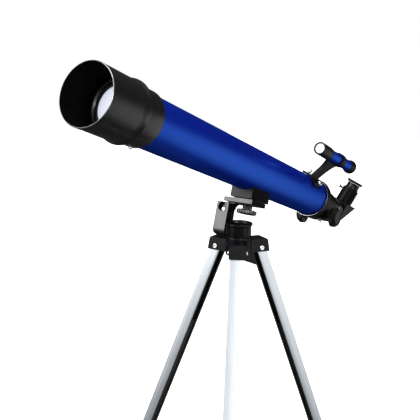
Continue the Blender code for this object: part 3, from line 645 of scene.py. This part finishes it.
def build_diagonal():
    """Right-angle diagonal, the eyepiece in its socket and the set screw."""
    up = shift(z=EYE_STATION) @ turn(90, "X")
    front, top, rear, lowest = 695, -17, 739, 27
    steps = [
        ("UNION", lathe([(0, 672), (12.1, 672), (12.1, front + 1), (0, front + 1)], 0.5, 96)),
        ("UNION", lathe([(0, 16), (15, 16), (15, 44.5), (0, 44.5)], 0.5, 96, up)),
        ("DIFFERENCE", rod(10.6, 670, front + 3, segments=64)),
        ("DIFFERENCE", rod(12.5, 13.5, 46, up, 96)),
        ("DIFFERENCE", lathe([(15.4, 40.4), (14.6, 40.7), (15.4, 41.0)], 0, 96, up)),
    ]
    outline = rounded([(top, front), (lowest, front), (top, rear)], 1.2)
    piece("diagonal", prism(outline, -16, 16, plane="yz"), "diagonal", "deep_black", DIAGONAL,
          ["diagonal_housing"], steps, bevel=0.45)
    place = DIAGONAL @ up
    barrel = [(12.2, 22), (12.2, 44.9), (12.8, 44.9), (12.8, 46.3), (11.5, 47.2), (11.5, 54.2), (12.2, 54.8),
              (12.2, 55.5), (9.3, 55.5), (9.3, 50.0), (7.0, 49.0), (10.6, 40), (11.2, 22)]
    piece("eyepiece", lathe(barrel, 0.3), "eyepiece", "gloss_black", place, ["eyepiece_body"])
    lens = [(0, 50.6), (8.8, 50.6), (8.8, 53.0), (7, 53.6), (4, 54.2), (0, 54.4)]
    piece("eyepiece_lens", lathe(lens, 0, 64), "eyepiece", "lens", place, ["eye_lens"])
    cup = [(9.0, 55.8), (13.0, 55.8), (14.6, 57.8), (15.2, 59.4), (15.2, 60.6), (12.6, 60.6), (11.4, 58.8),
           (9.0, 57.2)]
    piece("eyecup_ring", lathe(cup, 0.35), "eyepiece", "rubber", place, ["eyecup"])
    screw_height, screw_turn = 39.4, 232
    screw_place = DIAGONAL @ shift(0, -screw_height, EYE_STATION) @ turn(screw_turn, "Y")
    screw = [(0, 12.9), (1.5, 12.9), (1.5, 17.4), (2.0, 17.4), (2.0, 20.4), (2.9, 20.8), (2.9, 25.4),
             (0, 25.6)]
    piece("set_screw_head", lathe(screw, 0.3, 80, flutes=(16, 0.3, 2.6)), "set_screw", "chrome", screw_place,
          ["eyepiece_set_screw"])


# ---------------------------------------------------------------- finder

def build_finder():
    """Finder scope, its bracket and the two thumbscrews that hold the bracket."""
    cell = [(9.2, 455), (10.0, 455.6), (10.0, 488), (9.3, 492), (9.1, 492), (9.1, 479), (8.6, 479),
            (8.6, 456.6), (7.4, 456.6), (7.4, 455)]
    piece("finder_front", lathe(cell, 0.35), "telescope", "satin_black", FINDER, ["finder_objective_cell"])
    lens = [(0, 456.9), (4, 457.1), (7, 457.6), (8.2, 458.1), (8.2, 460.6), (0, 461.2)]
    piece("finder_lens", lathe(lens, 0, 64), "telescope", "lens", FINDER, ["finder_objective_lens"])
    skin = [(8.8, 479.4), (8.8, 575), (7.9, 575), (7.9, 479.4)]
    piece("finder_barrel", lathe(skin, 0.2), "telescope", "blue_paint", FINDER, ["finder_tube"])
    rear = [(7.6, 566), (7.6, 575.3), (9.3, 575.3), (9.9, 581), (11.4, 586.6), (11.4, 590), (8.0, 590),
            (5.0, 586), (4.5, 566)]
    piece("finder_ocular", lathe(rear, 0.5), "telescope", "satin_black", FINDER, ["finder_eyepiece"])

    center = shift(y=-FINDER_DISTANCE)
    bore, outside = 9.1, 10.8
    ring = [(outside, 529), (outside, 544), (bore, 544), (bore, 529)]
    stem = [(-31.5, 513), (-56, 512), (-64, 509.5), (-69.4, 506.5), (-70.6, 508.5), (-70.6, 544),
            (-69.4, 543.4), (-64.5, 539.5), (-58, 537), (-50, 535), (-31.5, 534)]
    foot = arc(0, 0, 31.0, -120, -60, 24) + arc(0, 0, 34.2, -60, -120, 24)
    steps = [
        ("UNION", prism(rounded(stem, 1.5), -2.6, 2.6, plane="yz")),
        ("UNION", prism(foot, 512, 538)),
        ("DIFFERENCE", rod(bore, 500, 565, center, 96)),
    ]
    radials = [turn(side * FINDER_SCREW_ANGLE, "Z") @ shift(z=FINDER_SCREW_STATION) @ turn(90, "X")
               for side in (-1, 1)]
    steps += [("DIFFERENCE", rod(1.8, 29, 36, radial)) for radial in radials]
    piece("finder_mount", lathe(ring, 0.3, 96, center), "telescope", "deep_black", BRACKET,
          ["finder_bracket"], steps, bevel=0.35)
    screw = [(0, 27.6), (1.4, 27.6), (1.4, 34.6), (3.2, 34.6), (3.2, 36.0), (4.0, 36.8), (4.0, 40.2),
             (2.6, 41.2), (0, 41.2)]
    for k, radial in enumerate(radials, start=1):
        shape = lathe(screw, 0.3, 96, flutes=(16, 0.4, 3.6))
        piece(f"finder_screw_head_{k}", shape, f"finder_screw_{k}", "chrome", BRACKET @ radial,
              [f"finder_thumbscrew_{k}"])


# ---------------------------------------------------------------- mount

def build_turret():
    """The round part that turns on the hub, flat on the tilt arm's side, and its dished cap."""
    cup = [(17.3, -6), (17.3, 8.2), (18.8, 9.4), (18.8, 12.3), (16.8, 12.3), (15.4, 5.9), (15.2, -2.6),
           (3.4, -2.6), (3.4, -6)]
    steps = [
        ("UNION", block(-17.1, -9, -8, 8, -5, 5.5)),
        ("DIFFERENCE", block(-30, -17.1, -30, 30, -10, 20)),
        ("DIFFERENCE", block(-9.0, -5.5, -5.3, 5.3, -5.1, 6)),
        ("DIFFERENCE", rod(3.3, -30, -7, along_x())),
    ]
    piece("turret_cup", lathe(cup, 0.5), "turret", "satin_black", AZIMUTH, ["turret"], steps)
    cap = [(0, 7.2), (6, 7.4), (11, 8.0), (14.6, 8.8), (15.4, 8.8), (15.2, 7.2), (12, 6.2), (0, 5.8)]
    piece("turret_lid", lathe(cap, 0.3), "turret", "satin_black", AZIMUTH, ["turret_cap"])


def build_tilt_arm():
    """The arm with its platform, the screw in its recess and the tilt bolt."""
    recess_x = -28.1
    screw_place = along_y(x=recess_x, z=27.4)
    outline = arc(0, 0, 10.4, 180, 360, 24)
    outline += [(10.0, 14), (9.0, 24), (9.6, 31), (12.0, 37.4), (-10.3, 37.4), (-11.2, 36.6)]
    web = [(-24, 30), (-18.4, 30)] + arc(-10.3, 30.4, 8.0, 180, 90, 10) + [(-10.3, 40), (-24, 40)]
    corner = [(-38, -12), (-31.5, -12)] + arc(-31.5, -4.6, 5.8, 270, 180, 8) + [(-38, -4.6)]
    steps = [
        ("UNION", prism(web, -4, 11.4, plane="xz")),
        ("UNION", block(-22.5, 22.5, -19.8, 21.2, 38.4, 44.4)),
        ("DIFFERENCE", prism(corner, -14, 14, plane="xz")),
        ("DIFFERENCE", rod(6.6, -14, -3.6, along_y(x=recess_x, z=30.5), 64)),
        ("DIFFERENCE", rod(1.7, -8, 4, screw_place)),
        ("DIFFERENCE", rod(3.3, -40, -15, along_x())),
        ("DIFFERENCE", rod(6.2, -42, -34.4, along_x(), 64)),
        ("DIFFERENCE", rod(3.6, 36, 46, shift(y=CLAMP_OFFSET))),
    ]
    piece("tilt_arm", prism(outline, -37.2, -18.3, plane="yz"), "telescope", "mount_black", ALTITUDE,
          ["altitude_arm"], steps, bevel=0.55, finishes=[PAINTED_SHADE_SIDE])
    screw = [(0, -7.0), (2.2, -7.0), (2.8, -6.4), (2.8, -4.4), (1.4, -4.4), (1.4, 3.2), (0, 3.2)]
    slot = block(-0.4, 0.4, -3, 3, -8, -6.3)
    piece("arm_screw_head", lathe(screw, 0.3, 48), "telescope", "chrome", ALTITUDE @ screw_place,
          ["arm_screw"], [("DIFFERENCE", slot)])
    bolt = [(0, -36.8), (4.4, -36.8), (5.6, -36.2), (5.6, -34.7), (3.0, -34.7), (3.0, -5.8), (0, -5.8)]
    piece("tilt_bolt", lathe(bolt, 0.3, 64), "telescope", "steel", ALTITUDE @ along_x(), ["pivot_bolt"],
          [("DIFFERENCE", prism(hexagon(2.6), -38, -35.4))])


def build_saddle():
    """The block that cradles the tube, and the knob that clamps it to the platform."""
    clamp_place = shift(y=CLAMP_OFFSET)
    steps = [
        ("DIFFERENCE", rod(30.9, -30, 60, along_y(z=OPTICAL_HEIGHT), 160)),
        ("UNION", rod(8, 44.7, 48.7, clamp_place)),
        ("DIFFERENCE", rod(3.3, 40, 54, clamp_place)),
    ]
    piece("saddle", block(-17, 17, -13.8, 39.2, 46.7, 66), "telescope", "satin_black", ALTITUDE,
          ["tube_saddle"], steps, bevel=0.5, finishes=[PAINTED_SHADE_SIDE])
    knob = [(0, 25.8), (12.0, 25.8), (14.3, 26.8), (14.5, 31.0), (13.6, 32.0), (7.0, 32.0), (7.0, 38.0),
            (3.0, 38.0), (3.0, 53.0), (0, 53.0)]
    piece("clamp_wheel", lathe(knob, 0.35, 168, flutes=(14, 1.1, 6.9)), "clamp_knob", "mount_black",
          ALTITUDE @ clamp_place, ["saddle_clamp_knob"])


# ---------------------------------------------------------------- tripod

LEG_NUMBERS = (1, 2, 3)
STOP_LEG = 2                # the leg whose bracket carries the hub's stop
LEG_PIN = {"x": 31.2, "z": -24}
LEG_PIN_BORE = 2.7
SPREADER_PIN = {"x": -11, "z": -500}
SPREADER_LENGTH = 245.2246  # between the pins of a spreader arm
SPREADER_ANGLE = 50         # of the arms from the vertical
LOCK_DROP = 569             # of the lock knob below the leg's pin
LOCK_BORE = 2.7
FOOT_REACH = 690.0          # from the leg's pin to the middle of the sole


def build_hub():
    """The tripod's head: a round core with three hollow leg brackets."""
    around = {number: turn(leg_frame(number)[1], "Z") for number in LEG_NUMBERS}
    core = [(3.4, -6.4), (17.0, -6.4), (18.0, -7.4), (18.0, -10.6), (17.5, -11.2), (18.0, -11.8),
            (18.0, -33), (11, -33), (11, -14), (3.4, -14)]
    cheek = [(14, -30), (44.5, -30), (41.4, -12.9), (39.6, -11.3), (14, -11.3)]
    pocket = [(19.6, -40), (45.4, -40), (42.9, -30), (40.2, -15.6), (37.6, -13.2), (19.6, -13.2)]
    stop = [(12.5, -29), (24, -29), (24, -31), (30, -52), (12.5, -45)]
    steps = [("UNION", prism(cheek, -11.9, 11.9, side, "xz")) for side in around.values()]
    steps += [("DIFFERENCE", prism(pocket, -10.4, 10.4, side, "xz")) for side in around.values()]
    steps.append(("UNION", prism(stop, -3, 3, around[STOP_LEG], "xz")))
    steps += [("DIFFERENCE", rod(LEG_PIN_BORE, -14, 14, side @ along_y(**LEG_PIN), 32))
              for side in around.values()]
    piece("hub", lathe(core, 0.4), "tripod", "satin_black", AZIMUTH, ["tripod_hub"], steps, bevel=0.9)


def build_leg(number):
    """One leg: its pivot bolt, channel, lock, sliding section, foot and spreader arm."""
    place, azimuth = leg_frame(number)
    rivet = [(0, -12.9), (0.9, -12.9), (1.5, -13.8), (3.1, -13.8), (3.7, -12.9), (3.7, -12.2), (2.4, -12.2),
             (2.4, 12.2), (3.7, 12.2), (3.7, 12.9), (3.1, 13.8), (1.5, 13.8), (0.9, 12.9), (0, 12.9)]
    piece(f"hub_rivet_{number}", lathe(rivet, 0.35, 48), "tripod", "chrome", place @ along_y(),
          [f"leg_bolt_{number}"])

    deep, wide, lip, wall = 7.25, 10.0, 6.5, 1.2
    outer = [(-deep, -lip), (-deep, -wide), (deep, -wide), (deep, wide), (-deep, wide), (-deep, lip)]
    inner = [(-deep + wall, lip), (-deep + wall, wide - wall), (deep - wall, wide - wall),
             (deep - wall, -wide + wall), (-deep + wall, -wide + wall), (-deep + wall, -lip)]
    ear_width = 2.0
    steps = [("UNION", block(-14.2, -6.3, y, y + ear_width, -505, -495)) for y in (5.1, -7.1)]
    steps.append(("DIFFERENCE", rod(LEG_PIN_BORE, -12, 12, along_y(), 32)))
    steps.append(("DIFFERENCE", rod(1.9, -12, 12, along_y(**SPREADER_PIN), 32)))
    piece(f"leg_channel_{number}", prism(rounded(outer + inner, 0.7), -560, 6.5), f"leg_{number}",
          "leg_aluminium", place, [f"upper_leg_{number}"], steps,
          finishes=[CHANNEL_SHADE_INSIDE, CHANNEL_CORNER_SHADE])
    build_lock(number, place)
    low_deep, low_wide = 5.6, 8.3
    section = rounded([(-low_deep, -low_wide), (low_deep, -low_wide), (low_deep, low_wide),
                       (-low_deep, low_wide)], 1.0)
    hollow = block(-4.5, 4.5, -7.2, 7.2, -690, -120)
    piece(f"leg_section_{number}", prism(section, -677, -132), f"lower_leg_{number}", "dark_aluminium",
          place, [f"lower_leg_{number}"], [("DIFFERENCE", hollow)])
    build_foot(number, place)
    build_spreader_arm(number, azimuth)


def build_lock(number, place):
    """The clamp at the end of a leg channel and its knob."""
    axis = along_x(z=-LOCK_DROP)
    steps = [
        ("UNION", lathe([(0, 7), (6.5, 7), (6.5, 13), (0, 13)], 0.4, 48, axis)),
        ("DIFFERENCE", block(-7.55, 7.55, -10.3, 10.3, -560.3, -540)),
        ("DIFFERENCE", block(-6.0, 6.0, -8.7, 8.7, -580, -555)),
        ("DIFFERENCE", rod(LOCK_BORE, 3, 15, axis)),
    ]
    piece(f"leg_clamp_body_{number}", block(-9.6, 9.6, -12.3, 12.3, -578, -546), f"leg_{number}",
          "satin_black", place, [f"leg_clamp_{number}"], steps, bevel=0.8)
    knob = [(0, 6.2), (2.4, 6.2), (2.4, 13.3), (6.0, 13.3), (8.5, 15.0), (8.5, 20.0), (6.5, 21.5), (0, 21.5)]
    piece(f"lock_wheel_{number}", lathe(knob, 0.5, 120, flutes=(10, 1.2, 8.0)), f"lock_knob_{number}",
          "satin_black", place @ axis, [f"leg_lock_knob_{number}"])


def build_foot(number, place):
    """Rubber foot whose sole is level while the leg stands splayed."""
    splay = math.acos(place.col[2].z)
    sole = [(x, -(FOOT_REACH * math.cos(splay) + x * math.sin(splay)) / math.cos(splay))
            for x in (-8.5, 8.5)]
    outline = [sole[0], sole[1], (8.4, -684), (7.7, -680), (7.6, -660), (-7.6, -660), (-7.7, -680)]
    steps = [("DIFFERENCE", block(-5.9, 5.9, -8.6, 8.6, -677.3, -650))]
    piece(f"rubber_foot_{number}", prism(outline, -10.8, 10.8, plane="xz"), f"lower_leg_{number}", "rubber",
          place, [f"foot_{number}"], steps, bevel=0.7)


def build_spreader_arm(number, azimuth):
    """A flat bar between two eyes, with the pin that turns in the leg's ears."""
    joint = JOINTS[f"spreader_arm_turn_{number}"]
    arm_place = Matrix.Translation(joint["pos_m"]) @ turn(azimuth, "Z") @ turn(-SPREADER_ANGLE, "Y")
    section = rounded([(-1.5, -4.6), (1.5, -4.6), (1.5, 4.6), (-1.5, 4.6)], 0.6)
    steps = [("UNION", rod(3.2, -4.6, 4.6, along_y(z=z), 32)) for z in (0, SPREADER_LENGTH)]
    steps.append(("UNION", rod(1.6, -8.0, 8.0, along_y(), 24)))
    piece(f"spreader_bar_{number}", prism(section, 0, SPREADER_LENGTH), f"spreader_arm_{number}",
          "arm_aluminium", arm_place, [f"spreader_arm_{number}"], steps)


def build_spreader_hub():
    """The disc on the tripod's middle axis, with a pair of ears for each arm."""
    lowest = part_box("spreader_hub")[0]
    half_height = 8.5
    place = Matrix.Translation((TILT_AXIS.x, TILT_AXIS.y, lowest.z + half_height * MM))
    steps = []
    for number in LEG_NUMBERS:
        around = turn(leg_frame(number)[1], "Z")
        for y in (5.0, -7.2):
            steps.append(("UNION", block(9, 22, y, y + 2.2, -half_height, 3.6, around)))
    disc = [(3.2, -half_height), (13.0, -half_height), (13.0, -4.4), (3.2, -4.4)]
    piece("spreader_centre", lathe(disc, 0.4), "spreader_hub", "satin_black", place, ["spreader_hub"], steps,
          bevel=0.4)


build_front_end()
build_focuser()
build_diagonal()
build_finder()
build_turret()
build_tilt_arm()
build_saddle()
build_hub()
for leg_number in LEG_NUMBERS:
    build_leg(leg_number)
build_spreader_hub()

# CAD nodes whose shapes are right as they are, and their materials
CARRIED_OVER = {"azimuth_bolt": "steel", "azimuth_nut": "steel", "pivot_nut": "steel",
                "light_baffle": "flocked_black", "diagonal_mirror": "mirror"}
for node, finish_name in CARRIED_OVER.items():
    frame["nodes"][node].data.materials.clear()
    frame["nodes"][node].data.materials.append(MATERIALS[finish_name][0])
